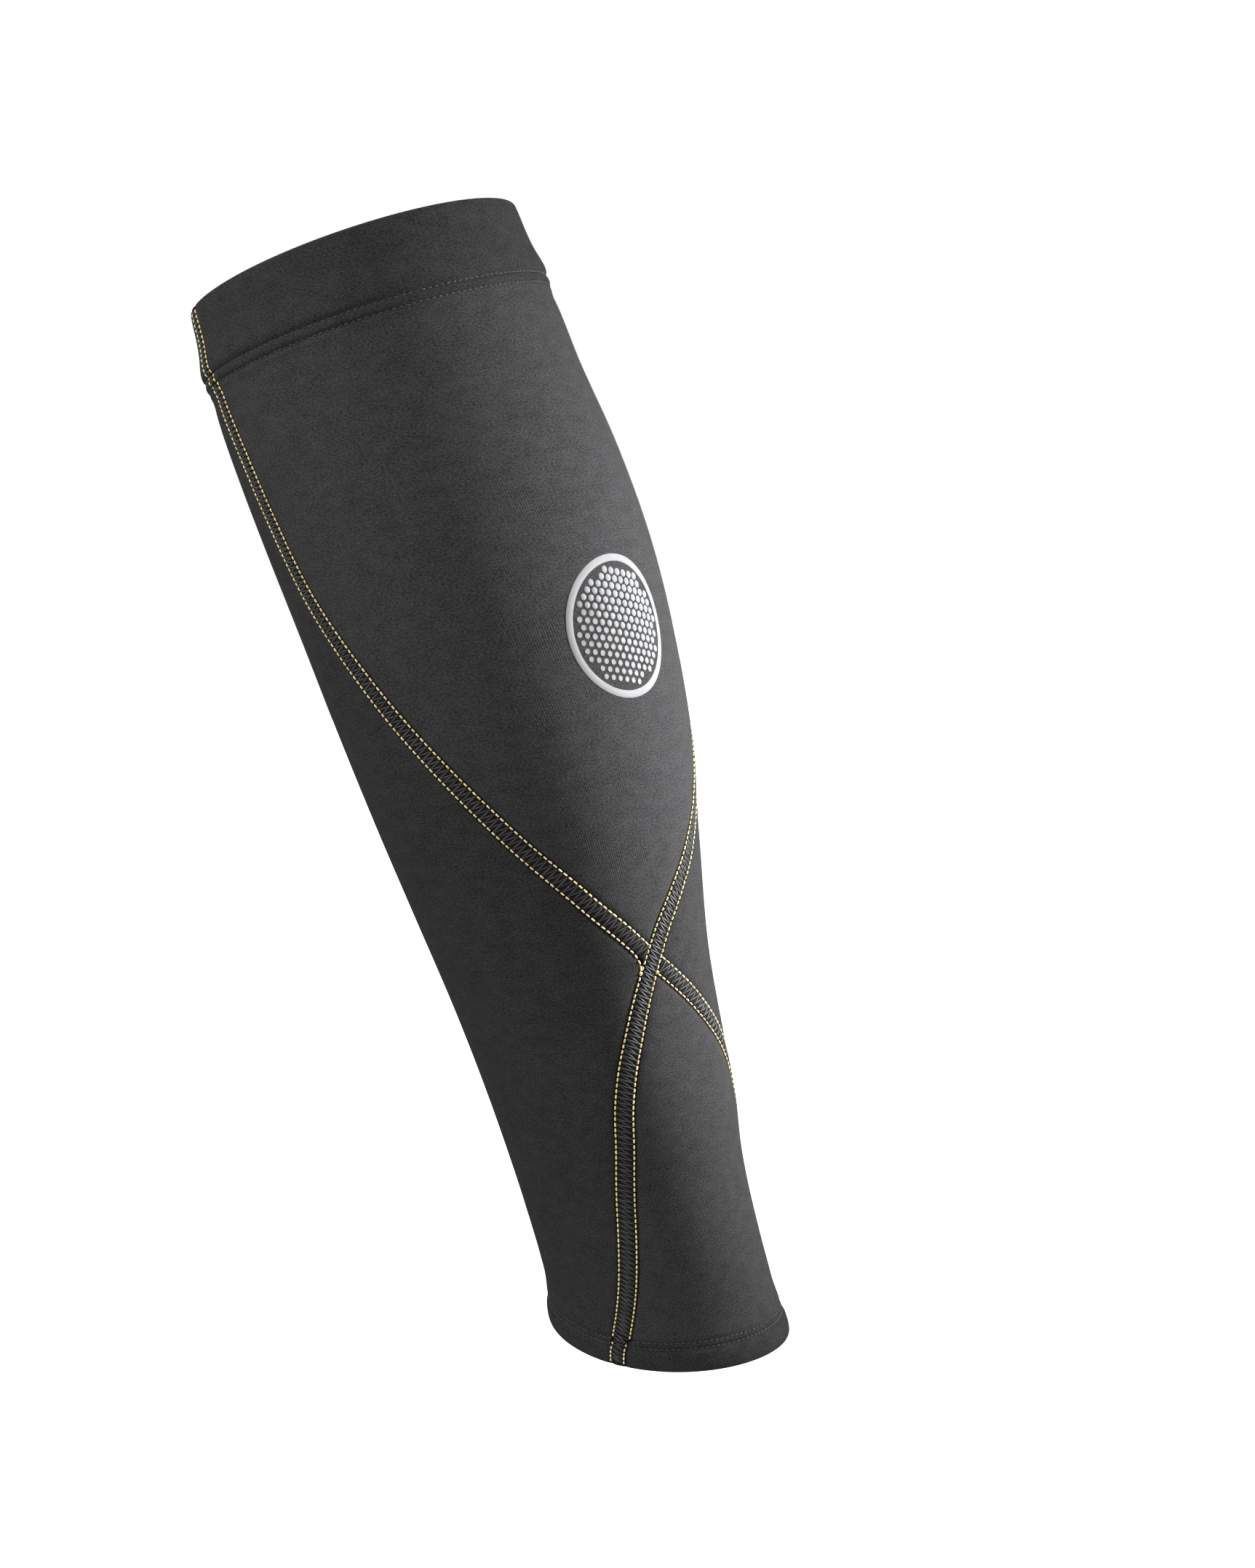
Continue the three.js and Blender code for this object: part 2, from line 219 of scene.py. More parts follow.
def cloth_point(angle, level):
    """Points on the outer face of the plain cloth."""
    height = edge_height(LOWER_EDGE, angle) * (1 - level) + edge_height(UPPER_EDGE, angle) * level
    share = height / SLEEVE_HEIGHT
    left = along(SECTIONS, "left", share) * CALF_WIDTH
    right = along(SECTIONS, "right", share) * CALF_WIDTH
    breadth = along(SECTIONS, "breadth", share)
    egg = along(SECTIONS, "egg", share)
    turn = radians(CALF_TURN)
    axis = AXIS_RIGHT * CALF_WIDTH
    half_depth = (left + right) / 2 / np.hypot(sin(turn), breadth * cos(turn))
    shift = ((right - left) / 2 - axis) / sin(turn)
    a = np.radians(angle)
    back = shift + half_depth * np.cos(a)
    across = breadth * half_depth * np.sin(a) * (1 + egg * np.cos(a))
    return np.stack([axis + back * sin(turn) + across * cos(turn),
                     -back * cos(turn) + across * sin(turn),
                     height], axis=-1)


def cloth_frame(angle, level):
    """Metres per degree round the leg, metres per level up it, and the outward direction."""
    around = cloth_point(angle + 0.5, level) - cloth_point(angle - 0.5, level)
    up = (cloth_point(angle, level + STEP) - cloth_point(angle, level - STEP)) / (2 * STEP)
    out = np.cross(around, up)
    out /= np.linalg.norm(out, axis=-1, keepdims=True)
    return np.linalg.norm(around, axis=-1), np.linalg.norm(up, axis=-1), out


def seam_angle(seam, level):
    return along(SEAM_LINES, seam, level)


def seam_slant(seam, angle, level):
    """How much longer a seam runs than the height it climbs, as a factor, and metres per degree."""
    per_degree, per_level, _ = cloth_frame(angle, level)
    lean = (seam_angle(seam, level + STEP) - seam_angle(seam, level - STEP)) / (2 * STEP)
    return np.sqrt(1 + (lean * per_degree / per_level) ** 2), per_degree


def seam_side(seam, level, offset):
    """The angle of a line beside a seam's middle, offset metres to its right."""
    angle = seam_angle(seam, level)
    slant, per_degree = seam_slant(seam, angle, level)
    return angle + offset * slant / per_degree


def row_offset(seam, side, level, jog=True):
    """How far a stitch row lies to the right of its seam's middle."""
    name = f"{seam}_{'right' if side > 0 else 'left'}"
    offset = side * along(ROW_PLACES, name, level) * MM
    if jog and seam == "inner" and side > 0:
        offset = offset - HEM_JOG * (np.asarray(level) * SLEEVE_HEIGHT < HEM_ROWS[1])
    return offset


def row_angle(seam, side, level, extra=0.0):
    """The angle of a stitch row, or of a line extra metres to its right."""
    return seam_side(seam, level, row_offset(seam, side, level) + extra)


def level_where(measure, low, high):
    """The level between two others where a measure changes its sign."""
    for _ in range(40):
        middle = (low + high) / 2
        if (measure(low) > 0) == (measure(middle) > 0):
            low = middle
        else:
            high = middle
    return (low + high) / 2


CROSS_LOW = 0.2
CROSS_HIGH = 0.6
CROSSING = level_where(lambda level: seam_angle("outer", level) - seam_angle("inner", level),
                       CROSS_LOW, CROSS_HIGH)


def outside_rows(angle, level):
    """Metres from each point to the nearest seam's rows, and 0 between the two rows."""
    nearest = np.full(np.broadcast(angle, level).shape, np.inf)
    for seam in ("outer", "inner"):
        slant, per_degree = seam_slant(seam, angle, level)
        turn = (angle - seam_angle(seam, level) + FULL_TURN / 2) % FULL_TURN - FULL_TURN / 2
        offset = turn * per_degree / slant
        beyond = np.maximum(row_offset(seam, -1, level) - offset,
                            offset - row_offset(seam, 1, level))
        nearest = np.minimum(nearest, np.maximum(beyond, 0))
    return nearest


def edge_relief(level):
    """The rise of the folded band and hem, and the stitched grooves along them."""
    below_top = (1 - level) * SLEEVE_HEIGHT / MM
    above_hem = level * SLEEVE_HEIGHT / MM
    band = along(BAND_RELIEF, "rise", np.clip(below_top, BAND_RELIEF[0].away, BAND_RELIEF[-1].away))
    hem = along(HEM_RELIEF, "rise", np.clip(above_hem, HEM_RELIEF[0].away, HEM_RELIEF[-1].away))
    return (band + hem) * MM


def soft_waves(angle, level):
    """Slow, shallow waves of the stretched cloth and small puckers just below the top band."""
    turn = np.radians(angle)
    height = level * SLEEVE_HEIGHT
    slow = (0.16 * np.sin(3 * turn + height / 0.021)
            + 0.12 * np.sin(5 * turn - height / 0.034 + 1.3)
            + 0.10 * np.sin(7 * turn + height / 0.049 + 2.1))
    ends = np.clip(np.minimum(height, SLEEVE_HEIGHT - height) / 0.03, 0, 1)
    below_band = (SLEEVE_HEIGHT - height) / MM - 33
    folds = (0.5 + 0.5 * np.sin(5 * turn + 0.8)) * np.sin(31 * turn + below_band / 5)
    puckers = 0.20 * folds * np.exp(-(below_band / 6) ** 2)
    return (slow * ends + puckers) * MM


def cloth_relief(angle, level):
    """How far the dressed cloth lies outside the plain cloth."""
    dip = SEAM_DIP * np.exp(-(outside_rows(angle, level) / SEAM_DIP_REACH) ** 2)
    return edge_relief(level) + soft_waves(angle, level) - dip


def dressed_point(angle, level, distance=0.0, share=1.0):
    """Points at a distance outside the dressed cloth. Share is how much of the relief is kept."""
    out = cloth_frame(angle, level)[2]
    rise = cloth_relief(angle, level) * share + distance
    return cloth_point(angle, level) + out * rise[..., None]


# Meshes.

def take(obj):
    """Makes one object the only selected and active one."""
    bpy.ops.object.select_all(action="DESELECT")
    obj.select_set(True)
    bpy.context.view_layer.objects.active = obj


def mesh_piece(name, points, faces, uv=None, shade=None):
    """A smooth mesh object from arrays, with an optional UV and shade for each vertex."""
    mesh = bpy.data.meshes.new(name)
    mesh.from_pydata(points.tolist(), [], faces.tolist())
    mesh.update()
    if uv is not None:
        layer = mesh.uv_layers.new(name="cloth")
        corners = np.empty(len(mesh.loops), int)
        mesh.loops.foreach_get("vertex_index", corners)
        layer.data.foreach_set("uv", uv[corners].ravel())
    if shade is not None:
        attribute = mesh.attributes.new("shade", "FLOAT", "POINT")
        attribute.data.foreach_set("value", shade.ravel().astype(np.float32))
    mesh.polygons.foreach_set("use_smooth", np.ones(len(mesh.polygons), bool))
    obj = bpy.data.objects.new(name, mesh)
    bpy.context.collection.objects.link(obj)
    return obj


def grid_faces(rows, columns):
    """Quads of a grid whose columns run round the leg and whose rows climb it."""
    corner = np.arange(rows * columns).reshape(rows, columns)
    quads = [corner[:-1, :-1], corner[:-1, 1:], corner[1:, 1:], corner[1:, :-1]]
    return np.stack(quads, axis=-1).reshape(-1, 4)


def thicken(obj, thickness):
    """Gives a sheet its wall, inwards from the face that is modelled."""
    take(obj)
    solidify = obj.modifiers.new("wall", "SOLIDIFY")
    solidify.thickness = thickness
    solidify.offset = -1
    solidify.use_even_offset = True
    solidify.use_quality_normals = True
    bpy.ops.object.modifier_apply(modifier=solidify.name)


# A path up a sheet: the level of each row, its distance outside the cloth, its share of the relief.
Path = namedtuple("Path", "level distance share")
FOLD_STEPS = 8
PLAIN_STEP = 1.6 * MM
FINE_STEP = 0.35 * MM


def levels_between(low, high, fine_low=0.0, fine_high=0.0):
    """Levels a plain step apart, with finer steps within the given reach of either end."""
    levels = [low]
    while levels[-1] < high:
        from_low = (levels[-1] - low) * SLEEVE_HEIGHT
        to_high = (high - levels[-1]) * SLEEVE_HEIGHT
        fine = from_low < fine_low or to_high < fine_high
        levels.append(levels[-1] + (FINE_STEP if fine else PLAIN_STEP) / SLEEVE_HEIGHT)
    levels[-1] = high
    if len(levels) > 2 and levels[-1] - levels[-2] < FINE_STEP / SLEEVE_HEIGHT / 2:
        del levels[-2]
    return np.array(levels)


def flat_path(levels):
    return Path(levels, np.zeros(len(levels)), np.ones(len(levels)))


def fold_path(inside, at_top):
    """Over the edge and down its inner side, in the order of the rows of the sheet."""
    rim = RIM_RADIUS / SLEEVE_HEIGHT
    phase = np.linspace(0, pi, FOLD_STEPS)
    inner = np.linspace(rim, inside / SLEEVE_HEIGHT, 14)[1:]
    away = np.concatenate([rim - rim * np.sin(phase), inner])
    distance = np.concatenate([-RIM_RADIUS + RIM_RADIUS * np.cos(phase),
                               np.full(len(inner), -2 * RIM_RADIUS)])
    share = np.concatenate([(1 + np.cos(phase)) / 2, np.zeros(len(inner))])
    if at_top:
        return Path(1 - away, distance, share)
    return Path(away[::-1], distance[::-1], share[::-1])


def joined_path(*paths):
    return Path(*(np.concatenate(parts) for parts in zip(*paths)))


def clustered(count, closeness):
    """Shares from 0 to 1 that lie closer together at both ends."""
    share = np.linspace(0, 1, count)
    return share - closeness * np.sin(2 * pi * share) / (2 * pi)


def sheet_points(path, left, right, shares, crown=None):
    """The points of a sheet between two lines, and its UV in millimetres of plain cloth."""
    level = path.level[:, None]
    angle = left(path.level)[:, None] * (1 - shares) + right(path.level)[:, None] * shares
    level = np.broadcast_to(level, angle.shape)
    distance = np.broadcast_to(path.distance[:, None], angle.shape)
    share = path.share[:, None]
    if crown is not None:
        distance = distance + crown * share
    points = dressed_point(angle, level, distance, share)
    steps = np.linalg.norm(np.diff(points[:, len(shares) // 2], axis=0), axis=-1)
    run = np.concatenate([[0], np.cumsum(steps)]) / MM
    u = angle * KNIT_PER_DEGREE
    v = np.broadcast_to(run[:, None] + path.level[0] * SLEEVE_HEIGHT / MM, angle.shape)
    # Painted shade for each vertex: 1 near a seam's rows, fading to 0 by SHADE_REACH from them.
    shade = np.clip((SHADE_REACH - outside_rows(angle, level)) / SHADE_FADE, 0, 1)
    return points, np.stack([u, v], axis=-1), shade


KNIT_PER_DEGREE = 0.9
# How far the painted shade beside the rows reaches, and the width over which it fades.
SHADE_REACH = 1.00 * MM
SHADE_FADE = 0.40 * MM


def cloth_piece(name, node, material, path, left, right, columns, closeness=0.7):
    """One cloth sheet between two stitch rows, with its wall, its body and its node."""
    points, uv, shade = sheet_points(path, left, right, clustered(columns, closeness))
    rows = len(path.level)
    obj = mesh_piece(name, points.reshape(-1, 3), grid_faces(rows, columns), uv.reshape(-1, 2),
                     shade)
    thicken(obj, CLOTH_THICKNESS)
    obj.data.materials.append(material)
    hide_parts(node)
    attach(obj, "root")
    return obj


def loose_piece(obj, slot, *nodes):
    """A piece that rides on the sleeve, attached to the root body after its nodes are hidden; the
    slot is not used.
    """
    if nodes:
        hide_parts(*nodes)
    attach(obj, "root")
    return obj


# Stitches.

Shape = namedtuple("Shape", "points faces uv crown")


def pick(obj, wanted):
    """Selects only the vertices that a test wants, of an object in edit mode."""
    shape = bmesh.from_edit_mesh(obj.data)
    shape.select_mode = {"VERT"}
    for vertex in shape.verts:
        vertex.select_set(bool(wanted(vertex.co)))
    shape.select_flush_mode()
    bmesh.update_edit_mesh(obj.data)


def modelled_shape(name, segments, rings, half_middle, arch, taper=0.0):
    """A short thread along X, rounded at both ends and bent down by arch, in a unit box."""
    bpy.ops.object.select_all(action="DESELECT")
    bpy.ops.mesh.primitive_uv_sphere_add(segments=segments, ring_count=rings, radius=1)
    obj = bpy.context.object
    obj.name = name
    bpy.ops.object.mode_set(mode="EDIT")
    bpy.ops.mesh.select_all(action="SELECT")
    bpy.ops.transform.rotate(value=pi / 2, orient_axis="Y", center_override=(0, 0, 0))
    pick(obj, lambda place: place.x > 0.1)
    bpy.ops.transform.translate(value=(half_middle, 0, 0))
    pick(obj, lambda place: place.x < -0.1)
    bpy.ops.transform.translate(value=(-half_middle, 0, 0))
    bpy.ops.object.mode_set(mode="OBJECT")
    mesh = obj.data
    points = np.array([v.co[:] for v in mesh.vertices])
    crown = (points[:, 2] + 1) / 2
    reach = 1 + half_middle
    points[:, 1] *= 1 - taper * (points[:, 0] / reach) ** 2
    points[:, 2] -= arch * (points[:, 0] / reach) ** 2
    points[:, 0] /= reach
    faces = [tuple(polygon.vertices) for polygon in mesh.polygons]
    corner_uv = {}
    for polygon in mesh.polygons:
        for loop in polygon.loop_indices:
            corner_uv[mesh.loops[loop].vertex_index] = tuple(mesh.uv_layers[0].data[loop].uv)
    uv = np.array([corner_uv[i] for i in range(len(points))])
    bpy.data.objects.remove(obj)
    bpy.data.meshes.remove(mesh)
    return Shape(points, faces, uv, crown)


def stamped(name, shape, places, directions, outs, lengths, widths, heights, tones):
    """Copies of one thread shape joined in one mesh, each with its place, direction and tone."""
    ahead = directions / np.linalg.norm(directions, axis=-1, keepdims=True)
    side = np.cross(outs, ahead)
    side /= np.linalg.norm(side, axis=-1, keepdims=True)
    up = np.cross(ahead, side)
    local = shape.points
    points = (places[:, None]
              + ahead[:, None] * local[None, :, 0:1] * lengths[:, None, None] / 2
              + side[:, None] * local[None, :, 1:2] * widths[:, None, None] / 2
              + up[:, None] * local[None, :, 2:3] * heights[:, None, None] / 2)
    count = len(places)
    size = len(local)
    faces = [tuple(i * size + v for v in face) for i in range(count) for face in shape.faces]
    mesh = bpy.data.meshes.new(name)
    mesh.from_pydata(points.reshape(-1, 3).tolist(), [], faces)
    mesh.update()
    layer = mesh.uv_layers.new(name="thread")
    corners = np.empty(len(mesh.loops), int)
    mesh.loops.foreach_get("vertex_index", corners)
    layer.data.foreach_set("uv", np.tile(shape.uv, (count, 1))[corners].ravel())
    for label, values in (("crown", np.tile(shape.crown, count)), ("tone", np.repeat(tones, size))):
        attribute = mesh.attributes.new(label, "FLOAT", "POINT")
        attribute.data.foreach_set("value", values.astype(np.float32))
    mesh.polygons.foreach_set("use_smooth", np.ones(len(mesh.polygons), bool))
    obj = bpy.data.objects.new(name, mesh)
    bpy.context.collection.objects.link(obj)
    return obj


def join(name, objects):
    """Several stamped meshes made into one piece."""
    bpy.ops.object.select_all(action="DESELECT")
    for obj in objects:
        obj.select_set(True)
    bpy.context.view_layer.objects.active = objects[0]
    if len(objects) > 1:
        bpy.ops.object.join()
    objects[0].name = name
    objects[0].data.name = name
    return objects[0]


Line = namedtuple("Line", "points outs levels")


def surface_line(angle_of, low, high, rise, samples=2400):
    """A fine line on the dressed cloth from one level to another."""
    levels = np.linspace(low, high, samples)
    angles = angle_of(levels)
    outs = cloth_frame(angles, levels)[2]
    return Line(dressed_point(angles, levels) + outs * rise, outs, levels)


def spaced(line, pitch_of):
    """Indices along a line, a pitch apart, and the pitch at each."""
    steps = np.linalg.norm(np.diff(line.points, axis=0), axis=-1)
    pitch = pitch_of(line.levels)
    run = np.concatenate([[0], np.cumsum(steps / ((pitch[1:] + pitch[:-1]) / 2))])
    count = int(run[-1])
    targets = (np.arange(count) + 0.5) * run[-1] / count
    index = np.clip(np.searchsorted(run, targets), 1, len(run) - 2)
    return index, pitch[index]


def pitch_along(seam, share=1.0):
    return lambda levels: along(STITCH_PITCHES, seam, levels) * MM * share


def stitch_row(name, shape, line, pitch_of, cover, width, height, rng, lean=0.0):
    """A row of stitches along a line."""
    index, pitch = spaced(line, pitch_of)
    ahead = line.points[index + 1] - line.points[index - 1]
    count = len(index)
    jitter = rng.uniform(-1, 1, (count, 3))
    side = np.cross(line.outs[index], ahead)
    side /= np.linalg.norm(side, axis=-1, keepdims=True)
    ahead = ahead / np.linalg.norm(ahead, axis=-1, keepdims=True)
    ahead = ahead + side * (lean + jitter[:, 0:1] * 0.05)
    lengths = pitch * cover * (1 + 0.04 * jitter[:, 1])
    widths = np.full(count, width) * (1 + 0.06 * jitter[:, 2])
    tones = rng.uniform(0, 1, count)
    return stamped(name, shape, line.points[index], ahead, line.outs[index], lengths, widths,
                   np.full(count, height), tones)


# Materials.

class Nodes:
    """The node tree of one new material, ending in a Principled shader."""

    def __init__(self, name):
        self.material = bpy.data.materials.new(name)
        self.material.use_nodes = True
        self.tree = self.material.node_tree
        self.shader = self.tree.nodes["Principled BSDF"]

    def add(self, kind, **settings):
        node = self.tree.nodes.new(kind)
        for key, value in settings.items():
            setattr(node, key, value)
        return node

    def link(self, source, target):
        self.tree.links.new(source, target)

    def feed(self, socket, value):
        if isinstance(value, bpy.types.NodeSocket):
            self.link(value, socket)
        else:
            socket.default_value = value

    def maths(self, operation, first, second=None, third=None):
        node = self.add("ShaderNodeMath", operation=operation)
        for i, value in enumerate((first, second, third)):
            if value is not None:
                self.feed(node.inputs[i], value)
        return node.outputs[0]

    def noise(self, vector, scale, detail=2.0, roughness=0.5):
        node = self.add("ShaderNodeTexNoise")
        self.feed(node.inputs["Vector"], vector)
        node.inputs["Scale"].default_value = scale
        node.inputs["Detail"].default_value = detail
        node.inputs["Roughness"].default_value = roughness
        return node.outputs["Fac"]

    def ramp(self, value, *stops):
        node = self.add("ShaderNodeValToRGB")
        self.feed(node.inputs[0], value)
        stop = node.color_ramp.elements
        while len(stop) < len(stops):
            stop.new(0.5)
        for element, (place, colour) in zip(stop, stops):
            element.position = place
            element.color = (*colour, 1)
        return node.outputs["Color"]

    def mix(self, share, first, second, mode="MIX"):
        node = self.add("ShaderNodeMix", data_type="RGBA", blend_type=mode)
        self.feed(node.inputs[0], share)
        self.feed(node.inputs[6], first)
        self.feed(node.inputs[7], second)
        return node.outputs[2]

    def bump(self, height, distance, strength=1.0):
        node = self.add("ShaderNodeBump")
        node.inputs["Strength"].default_value = strength
        node.inputs["Distance"].default_value = distance
        self.feed(node.inputs["Height"], height)
        self.link(node.outputs[0], self.shader.inputs["Normal"])

    def finish(self, colour, roughness, specular=0.5, sheen=0.0, sheen_roughness=0.5,
               sheen_tint=(1, 1, 1), metallic=0.0):
        inputs = self.shader.inputs
        self.feed(inputs["Base Color"], colour)
        inputs["Roughness"].default_value = roughness
        inputs["Specular IOR Level"].default_value = specular
        inputs["Sheen Weight"].default_value = sheen
        inputs["Sheen Roughness"].default_value = sheen_roughness
        inputs["Sheen Tint"].default_value = (*sheen_tint, 1)
        inputs["Metallic"].default_value = metallic
        return self.material


WALE_PITCH = 0.72
COURSE_PITCH = 0.58


def knit_material(name, dark, light, lean=0.10, roughness=0.75, specular=0.02):
    """Fine knit with a mottled yarn. Its wales run along the leg and show more in some places."""
    desk = Nodes(name)
    uv = desk.add("ShaderNodeUVMap", uv_map="cloth")
    parts = desk.add("ShaderNodeSeparateXYZ")
    desk.link(uv.outputs[0], parts.inputs[0])
    u = desk.maths("MULTIPLY_ADD", parts.outputs[1], lean, parts.outputs[0])
    v = parts.outputs[1]
    wale = desk.maths("COSINE", desk.maths("MULTIPLY", u, 2 * pi / WALE_PITCH))
    wale = desk.maths("MULTIPLY_ADD", wale, 0.5, 0.5)
    slope = desk.maths("PINGPONG", desk.maths("MULTIPLY", u, 1 / WALE_PITCH), 0.5)
    course = desk.maths("MULTIPLY_ADD", slope, 0.9, desk.maths("MULTIPLY", v, 1 / COURSE_PITCH))
    course = desk.maths("COSINE", desk.maths("MULTIPLY", course, 2 * pi))
    course = desk.maths("MULTIPLY_ADD", course, 0.5, 0.5)
    loop = desk.maths("MULTIPLY", wale, desk.maths("MULTIPLY_ADD", course, 0.55, 0.45))
    around = desk.add("ShaderNodeMapping")
    desk.link(uv.outputs[0], around.inputs["Vector"])
    around.inputs["Scale"].default_value = (0.60, 1, 1)
    patches = desk.noise(uv.outputs[0], 0.06, detail=1.0)
    clear = desk.ramp(patches, (0.40, (0.12, 0.12, 0.12)), (0.68, (0.60, 0.60, 0.60)))
    loop = desk.maths("MULTIPLY", desk.maths("SUBTRACT", loop, 0.5), clear)
    speckle = desk.noise(around.outputs[0], 2.1, detail=2.0)
    blotch = desk.noise(around.outputs[0], 0.28, detail=2.0)
    yarn = desk.noise(uv.outputs[0], 3.2, detail=1.0)
    mottle = desk.maths("MULTIPLY_ADD", desk.maths("SUBTRACT", speckle, 0.5), 1.5, 0.5)
    mottle = desk.maths("MULTIPLY_ADD", desk.maths("SUBTRACT", blotch, 0.5), 0.4, mottle)
    mottle = desk.maths("MULTIPLY_ADD", desk.maths("SUBTRACT", yarn, 0.5), 0.6, mottle)
    share = desk.maths("MULTIPLY_ADD", loop, 0.45, mottle)
    colour = desk.ramp(share, (0.10, dark), (0.90, light))
    # Painted shade: the knit is mixed towards near-black beside the stitch rows, where the rows
    # sink into the cloth.
    shade = desk.add("ShaderNodeAttribute", attribute_name="shade").outputs["Fac"]
    colour = desk.mix(desk.maths("MULTIPLY", shade, 0.85), colour, (0.003, 0.002, 0.0015, 1))
    height = desk.maths("MULTIPLY_ADD", mottle, 0.45, loop)
    desk.bump(height, 0.12 * MM, 0.8)
    return desk.finish(colour, roughness, specular)


def grey(value):
    return (value, value, value * 1.03)


calf_knit = knit_material("calf_knit", grey(0.012), grey(0.044))
shin_knit = knit_material("shin_knit", grey(0.009), grey(0.036), lean=0.08)
achilles_knit = knit_material("achilles_knit", grey(0.012), grey(0.044))
band_knit = knit_material("band_knit", grey(0.009), grey(0.036), lean=0.10)


def thread_material(name, deep, middle, pale, roughness, specular, sheen=0.0, fade=6.0):
    """Twisted sewing thread: painted shade deep at its ends and sides, a painted highlight pale on
    its crown.
    """
    desk = Nodes(name)
    uv = desk.add("ShaderNodeUVMap", uv_map="thread")
    parts = desk.add("ShaderNodeSeparateXYZ")
    desk.link(uv.outputs[0], parts.inputs[0])
    crown = desk.add("ShaderNodeAttribute", attribute_name="crown").outputs["Fac"]
    tone = desk.add("ShaderNodeAttribute", attribute_name="tone").outputs["Fac"]
    twist = desk.maths("MULTIPLY_ADD", parts.outputs[0], 2.0,
                       desk.maths("MULTIPLY", parts.outputs[1], 3.0))
    twist = desk.maths("SINE", desk.maths("MULTIPLY", twist, 2 * pi))
    end = desk.maths("ABSOLUTE", desk.maths("SUBTRACT", parts.outputs[1], 0.5))
    end = desk.maths("MULTIPLY_ADD", end, -fade, fade / 2)
    end = desk.maths("SMOOTH_MIN", end, 1.0, 0.2)
    # Painted highlight on the crown and painted shade towards the ends and the sides; fade sets how
    # steeply the ends darken.
    share = desk.maths("MULTIPLY", crown, end)
    share = desk.maths("MULTIPLY_ADD", twist, 0.07, share)
    share = desk.maths("MULTIPLY_ADD", desk.maths("SUBTRACT", tone, 0.5), 0.22, share)
    colour = desk.ramp(share, (0.10, deep), (0.62, middle), (1.0, pale))
    desk.bump(twist, 0.05 * MM, 0.6)
    return desk.finish(colour, roughness, specular, sheen)


# Each thread: deep is the painted shade, middle its own colour, pale the painted highlight.
gold_thread = thread_material("gold_thread", (0.13, 0.060, 0.006), (0.50, 0.36, 0.09),
                              (0.70, 0.63, 0.37), 0.52, 0.22, 0.2)
ladder_thread = thread_material("ladder_thread", (0.002, 0.002, 0.002), (0.010, 0.010, 0.011),
                                (0.040, 0.040, 0.042), 0.55, 0.25, fade=2.6)
hem_thread = thread_material("hem_thread", (0.003, 0.003, 0.003), (0.014, 0.014, 0.015),
                             (0.040, 0.040, 0.042), 0.55, 0.3, fade=4.0)


def print_material():
    """Light grey reflective film with fine glass beads."""
    desk = Nodes("print_film")
    place = desk.add("ShaderNodeTexCoord").outputs["Object"]
    beads = desk.add("ShaderNodeTexVoronoi")
    desk.link(place, beads.inputs["Vector"])
    beads.inputs["Scale"].default_value = 4200
    cloud = desk.noise(place, 160, detail=3)
    share = desk.maths("MULTIPLY_ADD", beads.outputs["Distance"], 0.5,
                       desk.maths("MULTIPLY", cloud, 0.6))
    colour = desk.ramp(share, (0.2, (0.138, 0.140, 0.143)), (0.8, (0.182, 0.185, 0.189)))
    desk.bump(beads.outputs["Distance"], 0.03 * MM, 0.5)
    return desk.finish(colour, 0.62, 0.12)


print_film = print_material()

# The open ends of the calf and Achilles panels, near the crossing.
HEM_TOP = HEM_ROWS[1] / SLEEVE_HEIGHT
BAND_LOW = 1 - BAND_ROWS[1] / SLEEVE_HEIGHT
EDGE_GAP = 0.05 * MM
TIP_WIDTH = 0.5 * MM


def calf_left(level):
    return row_angle("outer", 1, level, HALF_SLOT)


def calf_right(level):
    return row_angle("inner", -1, level, -HALF_SLOT)


def achilles_left(level):
    return row_angle("inner", 1, level, HALF_SLOT)


def achilles_right(level):
    return row_angle("outer", -1, level, -HALF_SLOT)


def shin_left(level):
    return np.maximum(row_angle("inner", 1, level, HALF_SLOT),
                      row_angle("outer", 1, level, HALF_SLOT))


def shin_right(level):
    return FULL_TURN + np.minimum(row_angle("inner", -1, level, -HALF_SLOT),
                                  row_angle("outer", -1, level, -HALF_SLOT))


def tip_level(left, right, low, high):
    """The level where a panel has narrowed to its tip."""
    return level_where(lambda level: float(
        (right(level) - left(level)) * cloth_frame(left(level), level)[0] - TIP_WIDTH), low, high)


CALF_TIP = tip_level(calf_left, calf_right, CROSSING, CROSS_HIGH)
ACHILLES_TIP = tip_level(achilles_left, achilles_right, CROSS_LOW, CROSSING)
slot_levels = EDGE_GAP / SLEEVE_HEIGHT
FINE_REACH = 4 * MM
OUTER_BAND = levels_between(BAND_LOW + slot_levels, 1 - RIM_RADIUS / SLEEVE_HEIGHT,
                            fine_low=6 * MM, fine_high=2 * MM)[:-1]
OUTER_HEM = levels_between(RIM_RADIUS / SLEEVE_HEIGHT, HEM_TOP - slot_levels,
                           fine_low=1 * MM, fine_high=8 * MM)[1:]
BAND_PATH = joined_path(flat_path(OUTER_BAND), fold_path(BAND_INSIDE, True))
HEM_PATH = joined_path(fold_path(HEM_INSIDE, False), flat_path(OUTER_HEM))
CALF_PATH = flat_path(levels_between(CALF_TIP, BAND_LOW, 3 * MM, FINE_REACH))
SHIN_PATH = flat_path(levels_between(HEM_TOP, BAND_LOW, FINE_REACH, FINE_REACH))
ACHILLES_PATH = flat_path(levels_between(HEM_TOP, ACHILLES_TIP, FINE_REACH, 3 * MM))

